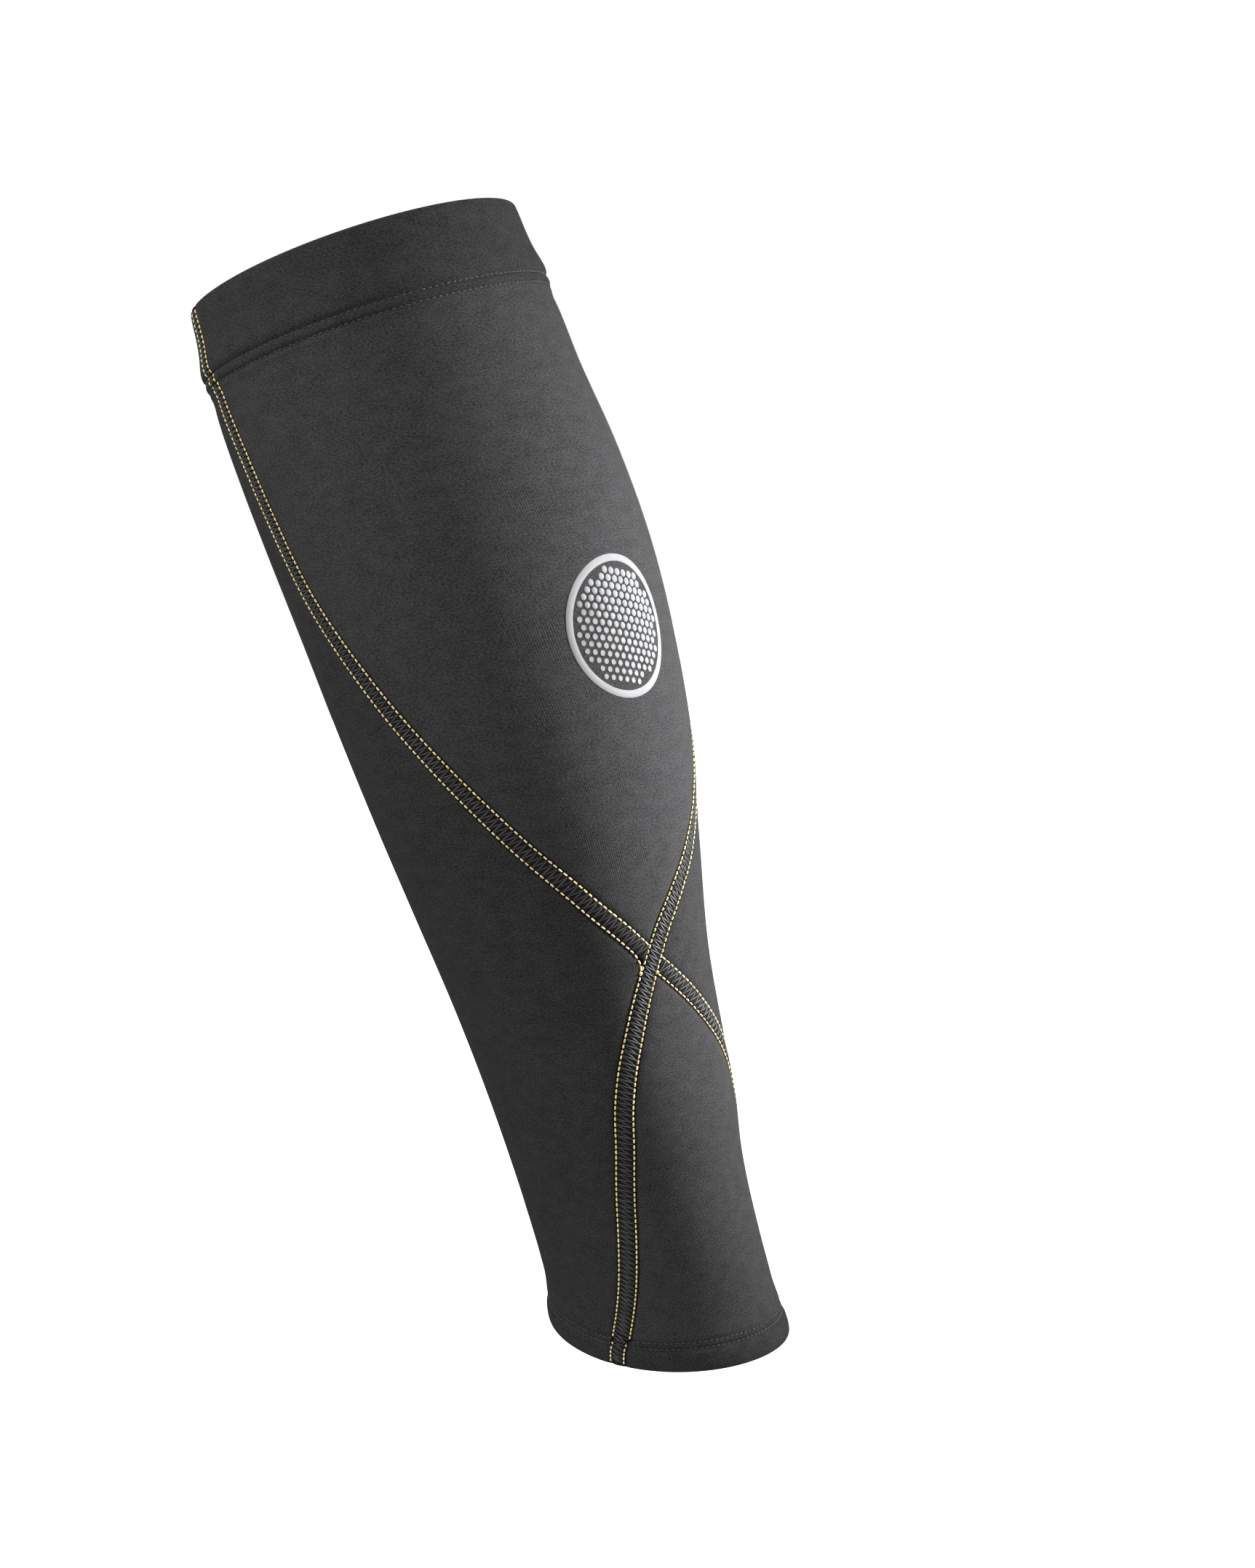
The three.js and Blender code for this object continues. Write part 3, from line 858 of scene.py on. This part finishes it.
calf_panel_cloth = cloth_piece("calf_panel_cloth", "calf_panel", calf_knit,
                               CALF_PATH, calf_left, calf_right, 128)
shin_panel_cloth = cloth_piece("shin_panel_cloth", "shin_panel", shin_knit,
                               SHIN_PATH, shin_left, shin_right, 170, closeness=0.55)
achilles_panel_cloth = cloth_piece("achilles_panel_cloth", "achilles_panel",
                                   achilles_knit, ACHILLES_PATH, achilles_left, achilles_right, 60)
band_calf_cloth = cloth_piece("top_band_calf_cloth", "top_band_calf", band_knit,
                              BAND_PATH, calf_left, calf_right, 128)
band_shin_cloth = cloth_piece("top_band_shin_cloth", "top_band_shin", band_knit,
                              BAND_PATH, shin_left, shin_right, 96)
hem_achilles_cloth = cloth_piece("hem_achilles_cloth", "hem_achilles", band_knit,
                                 HEM_PATH, achilles_left, achilles_right, 60)
hem_shin_cloth = cloth_piece("hem_shin_cloth", "hem_shin", band_knit,
                             HEM_PATH, shin_left, shin_right, 96)


# The beds of the seams, between the two stitch rows.

def bed_piece(name, seam, low, high, fold_low, fold_high, left=None, right=None):
    """The raised strip of joined cloth edges under a seam's threads."""
    if left is None:
        def left(level):
            return row_angle(seam, -1, level, HALF_SLOT)
    if right is None:
        def right(level):
            return row_angle(seam, 1, level, -HALF_SLOT)
    levels = levels_between(low, high)
    if fold_low and seam == "inner":
        step = 0.1 * MM / SLEEVE_HEIGHT
        levels = np.concatenate([levels_between(low, HEM_TOP - step, fine_high=2 * MM),
                                 levels_between(HEM_TOP + step, high, fine_low=2 * MM)])
    parts = [flat_path(levels)]
    if fold_low:
        parts.insert(0, fold_path(HEM_INSIDE, False))
    if fold_high:
        parts.append(fold_path(BAND_INSIDE, True))
    shares = np.linspace(0, 1, 9)
    crown = SEAM_CROWN * np.sqrt(np.sin(pi * shares))
    points, uv, shade = sheet_points(joined_path(*parts), left, right, shares, crown)
    faces = grid_faces(len(points), len(shares))
    # The bed keeps 0.3 of the painted shade beside the rows.
    obj = mesh_piece(name, points.reshape(-1, 3), faces, uv.reshape(-1, 2), shade * 0.3)
    thicken(obj, CLOTH_THICKNESS)
    obj.data.materials.append(seam_bed)
    return obj


# The seam bed is the panels' knit in darker greys: painted shade under and between the ladder
# threads.
seam_bed = knit_material("seam_bed", grey(0.005), grey(0.020))
ROW_CLEAR = 0.35 * MM
RIM_LEVEL = RIM_RADIUS / SLEEVE_HEIGHT


def above_inner(level):
    """The right side of the outer seam's upper strip, cut along the inner seam."""
    return np.minimum(row_angle("outer", 1, level, -HALF_SLOT),
                      row_angle("inner", -1, level, -HALF_SLOT))


def below_inner(level):
    """The left side of the outer seam's lower part, cut along the inner seam."""
    return np.maximum(row_angle("outer", -1, level, HALF_SLOT),
                      row_angle("inner", 1, level, HALF_SLOT))


UPPER_TIP = tip_level(lambda level: row_angle("outer", -1, level, HALF_SLOT), above_inner,
                      CROSS_LOW, CROSS_HIGH)
LOWER_TIP = tip_level(below_inner, lambda level: row_angle("outer", 1, level, -HALF_SLOT),
                      CROSS_LOW, CROSS_HIGH)
inner_bed = bed_piece("seam_bed_inner", "inner", RIM_LEVEL + 0.001, 1 - RIM_LEVEL - 0.001,
                      True, True)
upper_bed = bed_piece("seam_bed_outer_upper", "outer", UPPER_TIP, 1 - RIM_LEVEL - 0.001,
                      False, True, right=above_inner)
lower_bed = bed_piece("seam_bed_outer_lower", "outer", RIM_LEVEL + 0.001, LOWER_TIP,
                      True, False, left=below_inner)
loose_piece(inner_bed, "folded_edge", "flat_seam_inner")
loose_piece(upper_bed, "folded_edge", "flat_seam_outer_upper")
loose_piece(lower_bed, "folded_edge", "flat_seam_outer_lower")

# Seam stitches.
STITCH_WIDTH = 0.58 * MM
STITCH_HEIGHT = 0.58 * MM
STITCH_RISE = 0.24 * MM
STITCH_COVER = 0.76
rng = np.random.default_rng(7)
stitch = modelled_shape("one_stitch", 8, 6, 1.3, 0.45)
bar = modelled_shape("one_bar", 6, 8, 3.0, 0.9, taper=0.55)


def gold_piece(name, angles, extras=()):
    """The gold stitches of a seam, along lines given as (angle of level, low, high)."""
    pitch = pitch_along("inner" if "inner" in name else "outer")
    rows = [stitch_row(name, stitch, surface_line(angle_of, low, high, STITCH_RISE), pitch,
                       STITCH_COVER, STITCH_WIDTH, STITCH_HEIGHT, rng)
            for angle_of, low, high in angles]
    obj = join(name, rows + list(extras))
    obj.data.materials.clear()
    obj.data.materials.append(gold_thread)
    return loose_piece(obj, "seam_thread")


def row_of(seam, side):
    return lambda level: row_angle(seam, side, level)


def row_meets(outer_side, inner_side, gap, low, high):
    """The level where a row of the outer seam runs into a row of the inner seam."""
    def apart(level):
        outer = row_angle("outer", outer_side, level)
        inner = row_angle("inner", inner_side, level, inner_side * gap)
        return float(outer - inner)
    return level_where(apart, low, high)


def hooked_row(level):
    """The lower row of the upper strip, which bends down into the inner seam's left row."""
    share = np.clip((level - HOOK_END) / (HOOK_START - HOOK_END), 0, 1)
    target = row_angle("inner", -1, level, -ROW_CLEAR)
    gap = target - row_angle("outer", -1, np.asarray(HOOK_START, float))
    start_gap = (row_angle("inner", -1, np.asarray(HOOK_START, float), -ROW_CLEAR)
                 - row_angle("outer", -1, np.asarray(HOOK_START, float)))
    bent = target - start_gap * share ** HOOK_BEND
    return np.where(level > HOOK_START, row_angle("outer", -1, level), bent)


def knot(name, seam, side, level, extra):
    """A few short stitches over each other where a row is tied off."""
    turns = np.radians([15, 75, 130])
    level = np.full(len(turns), level)
    angle = row_angle(seam, side, level, extra)
    outs = cloth_frame(angle, level)[2]
    up = dressed_point(angle, level + STEP) - dressed_point(angle, level - STEP)
    up /= np.linalg.norm(up, axis=-1, keepdims=True)
    side_way = np.cross(up, outs)
    ahead = up * np.cos(turns)[:, None] + side_way * np.sin(turns)[:, None]
    places = dressed_point(angle, level) + outs * (np.array([0.25, 0.38, 0.50]) * MM)[:, None]
    return stamped(name, stitch, places, ahead, outs, np.full(3, 1.15 * MM), np.full(3, 0.6 * MM),
                   np.full(3, 0.5 * MM), np.array([0.2, 0.5, 0.35]))


HOOK_START = 0.374
HOOK_END = 0.351
HOOK_BEND = 1.5
UPPER_END = row_meets(1, -1, ROW_CLEAR, CROSS_LOW, CROSS_HIGH)
LOWER_ENDS = [row_meets(side, 1, ROW_CLEAR, CROSS_LOW, CROSS_HIGH) for side in (-1, 1)]
ROWS_LOW = RIM_LEVEL + 0.001
ROWS_HIGH = 1 - RIM_LEVEL - 0.001
BELOW_HEM = (HEM_ROWS[1] - 1.1 * MM) / SLEEVE_HEIGHT
ABOVE_HEM = (HEM_ROWS[1] + 0.6 * MM) / SLEEVE_HEIGHT
inner_gold = gold_piece("seam_stitches_inner",
                        [(row_of("inner", side), low, high) for side in (-1, 1)
                         for low, high in ((ROWS_LOW, BELOW_HEM), (ABOVE_HEM, ROWS_HIGH))])
upper_gold = gold_piece("seam_stitches_outer_upper",
                        [(hooked_row, HOOK_END, ROWS_HIGH),
                         (row_of("outer", 1), UPPER_END, ROWS_HIGH)],
                        [knot("upper_knot", "inner", -1, HOOK_END - 0.001, -0.25 * MM)])
lower_gold = gold_piece("seam_stitches_outer_lower",
                        [(row_of("outer", -1), ROWS_LOW, LOWER_ENDS[0]),
                         (row_of("outer", 1), ROWS_LOW, LOWER_ENDS[1])],
                        [knot("lower_knot", "inner", 1, LOWER_ENDS[0] + 0.001, 0.1 * MM)])


def beside(seam, angle, level, right, ahead):
    """Angle and level of points right of and ahead of points on a seam, in metres."""
    per_degree, per_level, _ = cloth_frame(angle, level)
    lean = (seam_angle(seam, level + STEP) - seam_angle(seam, level - STEP)) / (2 * STEP)
    rise = np.hypot(lean * per_degree, per_level)
    cosine = per_level / rise
    sine = lean * per_degree / rise
    return (angle + (right * cosine + ahead * sine) / per_degree,
            level + (ahead * cosine - right * sine) / per_level)


def ladder(name, seam, low, high, leans, cut=0):
    """The dark threads that cross a seam between its two rows, two to a stitch and at two
    slants, so that they lie over each other. Cut is the side kept of the inner seam."""
    middle = surface_line(lambda level: seam_side(seam, level, 0), low, high, 0)
    index, pitch = spaced(middle, pitch_along(seam, 0.5))
    level = middle.levels[index]
    angle = seam_side(seam, level, 0)
    count = len(index)
    odd = np.arange(count) % 2
    jitter = rng.uniform(-1, 1, (count, 3))
    lean = np.where(odd == 0, leans[0], leans[1]) * pitch * 2
    ends = []
    for side in (-1, 1):
        offset = row_offset(seam, side, level) - side * BAR_CLEAR
        ahead = side * lean / 2 + jitter[:, 0] * 0.10 * MM
        ends.append(np.stack(beside(seam, angle, level, offset, ahead)))
    left, right = ends
    keep = np.ones(count)
    if cut:
        for share in np.linspace(0, 1, 21)[1:]:
            near, far = (left, right) if cut < 0 else (right, left)
            spot = near + (far - near) * share
            clear = cut * 0.3 * MM
            outside = (spot[0] - row_angle("inner", cut, spot[1], clear)) * cut > 0
            keep = np.where(outside, keep, np.minimum(keep, share - 0.05))
        keep = np.maximum(keep, 0.0)
    if cut < 0:
        right = left + (right - left) * keep
    if cut > 0:
        left = right + (left - right) * keep
    crown = (BAR_RISE + odd * 0.10 * MM) * np.clip(keep * 1.2, 0.3, 1)
    start = dressed_point(left[0], left[1])
    end = dressed_point(right[0], right[1])
    outs = cloth_frame((left[0] + right[0]) / 2, (left[1] + right[1]) / 2)[2]
    run = end - start
    places = (start + end) / 2 + outs * crown[:, None]
    long = keep > 0.12
    obj = stamped(name, bar, places[long], run[long], outs[long],
                  np.linalg.norm(run, axis=-1)[long],
                  (BAR_WIDTH * (1 + 0.14 * jitter[:, 1]))[long],
                  np.full(long.sum(), BAR_HEIGHT), rng.uniform(0, 1, long.sum()))
    obj.data.materials.append(ladder_thread)
    return loose_piece(obj, "folded_edge")


BAR_CLEAR = 0.25 * MM
BAR_WIDTH = 0.62 * MM
BAR_HEIGHT = 0.40 * MM
BAR_RISE = SEAM_CROWN - 0.04 * MM
inner_ladder = ladder("seam_ladder_inner", "inner", ROWS_LOW, ROWS_HIGH, (-1.45, -0.35))
upper_ladder = ladder("seam_ladder_outer_upper", "outer", UPPER_TIP, ROWS_HIGH, (-1.0, -0.1),
                      cut=-1)
lower_ladder = ladder("seam_ladder_outer_lower", "outer", ROWS_LOW, LOWER_TIP, (-1.45, -0.35),
                      cut=1)


def inside_line(angle_of, low, high, folded):
    """A line on the inner face of the cloth, or on the inner layer of a folded edge."""
    levels = np.linspace(low, high, 2400 if high - low > 0.1 else 400)
    angles = angle_of(levels)
    outs = cloth_frame(angles, levels)[2]
    depth = CLOTH_THICKNESS + (2 * RIM_RADIUS if folded else 0)
    points = dressed_point(angles, levels, -depth, 0.0 if folded else 1.0)
    return Line(points - outs * 0.10 * MM, -outs, levels)


def inside_rows(name, seam, low, high):
    """The dark rows on the inner face of a seam."""
    hem_end = (HEM_INSIDE + 1 * MM) / SLEEVE_HEIGHT
    band_end = 1 - (BAND_INSIDE + 1 * MM) / SLEEVE_HEIGHT
    spans = [(max(low, hem_end), min(high, band_end), False)]
    if low < hem_end:
        spans.append((low, hem_end - 0.004, True))
    if high > band_end:
        spans.append((band_end + 0.004, high, True))
    rows = [stitch_row(name, stitch, inside_line(row_of(seam, side), start, end, folded),
                       pitch_along(seam), 0.92, STITCH_WIDTH, STITCH_HEIGHT, rng)
            for side in (-1, 1) for start, end, folded in spans]
    obj = join(name, rows)
    obj.data.materials.clear()
    obj.data.materials.append(hem_thread)
    return loose_piece(obj, "folded_edge")


inner_inside = inside_rows("seam_inside_inner", "inner", ROWS_LOW, ROWS_HIGH)
upper_inside = inside_rows("seam_inside_outer_upper", "outer", UPPER_TIP, ROWS_HIGH)
lower_inside = inside_rows("seam_inside_outer_lower", "outer", ROWS_LOW, LOWER_TIP)

# The two rows of dark stitches round the band and the hem.
cover_stitch = modelled_shape("one_cover_stitch", 6, 6, 2.0, 0.8)


def edge_row(level, left, right):
    """A fine line round the leg at one level, between two seams."""
    start = float(left(np.array(level))) + 0.5
    end = float(right(np.array(level))) - 0.5
    angles = np.linspace(start, end, 2400)
    levels = np.full(len(angles), level)
    outs = cloth_frame(angles, levels)[2]
    return Line(dressed_point(angles, levels) + outs * 0.10 * MM, outs, levels)


def edge_stitches(name, levels, spans, pitch, width):
    rows = []
    for level in levels:
        for left, right in spans:
            rows.append(stitch_row(name, cover_stitch, edge_row(level, left, right),
                                   lambda x: np.full(len(x), pitch), 0.80, width, width * 0.8,
                                   rng))
    obj = join(name, rows)
    obj.data.materials.append(hem_thread)
    return loose_piece(obj, "folded_edge")


band_stitches = edge_stitches("band_stitches", [1 - row / SLEEVE_HEIGHT for row in BAND_ROWS],
                              [(calf_left, calf_right), (shin_left, shin_right)], 2.0 * MM,
                              0.40 * MM)
hem_stitches = edge_stitches("hem_stitches", [row / SLEEVE_HEIGHT for row in HEM_ROWS],
                             [(achilles_left, achilles_right), (shin_left, shin_right)], 1.7 * MM,
                             0.44 * MM)

# The round reflective print: a thin ring round a field of dots that shrink towards one side.
DOT_PITCH = 2.6 * MM
DOT_SIZES = (1.55 * MM, 2.40 * MM)
FILM_HEIGHT = 0.16 * MM
RING_WIDTH = 2.2 * MM
dot_frame = cloth_frame(np.array(PRINT_ANGLE), np.array(PRINT_LEVEL))


def print_place(across, up):
    """Angle and level of a point of the print, in metres from its middle."""
    lean = radians(PRINT_LEAN)
    angle = PRINT_ANGLE + (across * cos(lean) + up * sin(lean)) / dot_frame[0]
    level = PRINT_LEVEL + (up * cos(lean) - across * sin(lean)) / dot_frame[1]
    return angle, level


def film_patch(across, up, rings):
    """Points of the film at places in metres from the print's middle, at a height outside the
    cloth.
    """
    angle, level = print_place(across, up)
    return dressed_point(angle, level, rings)


def reflective_print():
    sides = 14
    turn = np.arange(sides) * 2 * pi / sides
    rows = []
    half = np.array([PRINT_WIDTH, PRINT_HEIGHT]) / 2
    count = int(half[1] / (DOT_PITCH * 0.866)) + 1
    for row in range(-count, count + 1):
        up = row * DOT_PITCH * 0.866
        line = []
        for step in range(-count - 1, count + 2):
            across = (step + 0.5 * (row % 2)) * DOT_PITCH
            inside = np.hypot(across / (half[0] - RING_WIDTH * 1.35),
                              up / (half[1] - RING_WIDTH * 1.35))
            if inside < 0.955:
                line.append((across, up))
        if len(line) > 2:
            rows.extend(line)
    centres = np.array(rows)
    slide = (centres[:, 0] * 0.5 + centres[:, 1] * 0.87) / half[1] / 2 + 0.5
    size = DOT_SIZES[0] + (DOT_SIZES[1] - DOT_SIZES[0]) * np.clip(slide, 0, 1)
    points = []
    faces = []
    profile = [(1.0, -0.1 * MM), (1.0, FILM_HEIGHT * 0.6), (0.9, FILM_HEIGHT)]
    for (across, up), wide in zip(centres, size):
        base = len(points)
        for scale, height in profile:
            ring_x = across + np.cos(turn) * wide / 2 * scale
            ring_y = up + np.sin(turn) * wide / 2 * scale
            points.extend(film_patch(ring_x, ring_y, height))
        for ring in range(len(profile) - 1):
            for i in range(sides):
                j = (i + 1) % sides
                low = base + ring * sides
                faces.append((low + i, low + j, low + sides + j, low + sides + i))
        top = base + (len(profile) - 1) * sides
        faces.append(tuple(top + i for i in range(sides)))
        faces.append(tuple(base + i for i in reversed(range(sides))))
    steps = 160
    turn = np.arange(steps) * 2 * pi / steps
    loops = [(0, -0.1 * MM), (0, FILM_HEIGHT * 0.7), (0.12 * MM, FILM_HEIGHT),
             (RING_WIDTH - 0.12 * MM, FILM_HEIGHT), (RING_WIDTH, FILM_HEIGHT * 0.7),
             (RING_WIDTH, -0.1 * MM)]
    base = len(points)
    for inset, height in loops:
        points.extend(film_patch(np.cos(turn) * (half[0] - inset),
                                 np.sin(turn) * (half[1] - inset), height))
    for loop in range(len(loops)):
        for i in range(steps):
            j = (i + 1) % steps
            low = base + loop * steps
            high = base + (loop + 1) % len(loops) * steps
            faces.append((low + i, low + j, high + j, high + i))
    mesh = bpy.data.meshes.new("reflective_print_film")
    mesh.from_pydata([tuple(p) for p in points], [], faces)
    mesh.update()
    obj = bpy.data.objects.new("reflective_print_film", mesh)
    bpy.context.collection.objects.link(obj)
    take(obj)
    bpy.ops.object.shade_smooth_by_angle(angle=radians(35))
    obj.data.materials.append(print_film)
    return loose_piece(obj, "print_film", "reflective_print")


print_piece = reflective_print()


# Camera, floor and light.

def camera():
    data = bpy.data.cameras.new("camera")
    data.lens = CAMERA_LENS
    data.sensor_width = 36
    data.sensor_fit = "AUTO"
    data.clip_start = 0.05
    data.clip_end = 40
    obj = bpy.data.objects.new("camera", data)
    bpy.context.collection.objects.link(obj)
    turn = (Matrix.Rotation(radians(CAMERA_YAW), 4, "Z")
            @ Matrix.Rotation(radians(90 + CAMERA_PITCH), 4, "X")
            @ Matrix.Rotation(radians(CAMERA_ROLL), 4, "Z"))
    obj.matrix_world = Matrix.Translation(CAMERA_PLACE) @ turn
    bpy.context.scene.camera = obj


def soft_light(name, place, width, height, power, target=(0, 0, 0.19), spread=180):
    data = bpy.data.lights.new(name, "AREA")
    data.shape = "RECTANGLE"
    data.size = width
    data.size_y = height
    data.energy = power
    data.spread = radians(spread)
    obj = bpy.data.objects.new(name, data)
    bpy.context.collection.objects.link(obj)
    away = Vector(target) - Vector(place)
    obj.location = place
    obj.rotation_euler = away.to_track_quat("-Z", "Y").to_euler()


def floor():
    """A pale floor, lit so evenly that it runs into the white behind it."""
    bpy.ops.object.select_all(action="DESELECT")
    bpy.ops.mesh.primitive_plane_add(size=30, location=(0, 0, FLOOR_HEIGHT))
    obj = bpy.context.object
    obj.name = "floor"
    desk = Nodes("pale_floor")
    desk.shader.inputs["Emission Color"].default_value = (1, 1, 1, 1)
    desk.shader.inputs["Emission Strength"].default_value = 1.0
    obj.data.materials.append(desk.finish((0.9, 0.9, 0.9, 1), 0.9, 0.0))
    obj.visible_diffuse = False
    obj.visible_glossy = False


def world():
    """White to the eye, and a soft room light that is weaker on the right and behind."""
    scene = bpy.context.scene
    scene.world = bpy.data.worlds.new("studio")
    scene.world.use_nodes = True
    tree = scene.world.node_tree
    seen = tree.nodes["Background"]
    seen.inputs["Color"].default_value = (1, 1, 1, 1)
    seen.inputs["Strength"].default_value = 1.0
    room = tree.nodes.new("ShaderNodeBackground")
    way = tree.nodes.new("ShaderNodeTexCoord")
    slope = tree.nodes.new("ShaderNodeVectorMath")
    slope.operation = "DOT_PRODUCT"
    slope.inputs[1].default_value = ROOM_SLOPE
    level = tree.nodes.new("ShaderNodeMath")
    level.operation = "ADD"
    level.use_clamp = False
    level.inputs[1].default_value = ROOM_LIGHT
    low = tree.nodes.new("ShaderNodeMath")
    low.operation = "MAXIMUM"
    low.inputs[1].default_value = ROOM_DARK
    path = tree.nodes.new("ShaderNodeLightPath")
    mix = tree.nodes.new("ShaderNodeMixShader")
    tree.links.new(way.outputs["Generated"], slope.inputs[0])
    tree.links.new(slope.outputs["Value"], level.inputs[0])
    tree.links.new(level.outputs[0], low.inputs[0])
    tree.links.new(low.outputs[0], room.inputs["Strength"])
    tree.links.new(path.outputs["Is Camera Ray"], mix.inputs[0])
    tree.links.new(room.outputs[0], mix.inputs[1])
    tree.links.new(seen.outputs[0], mix.inputs[2])
    tree.links.new(mix.outputs[0], tree.nodes["World Output"].inputs["Surface"])
    scene.view_settings.view_transform = "Standard"
    scene.view_settings.look = "None"


ROOM_LIGHT = 0.86
ROOM_DARK = 0.08
ROOM_SLOPE = (-0.42, -0.50, 0.10)
camera()
floor()
world()
soft_light("window", (1.18, 0.14, 0.175), 0.60, 0.26, 3.6, target=(0, 0, 0.170), spread=25)
soft_light("overhead", (-0.30, -0.24, 0.85), 0.30, 0.30, 0.7, target=(0, 0, 0.28), spread=70)
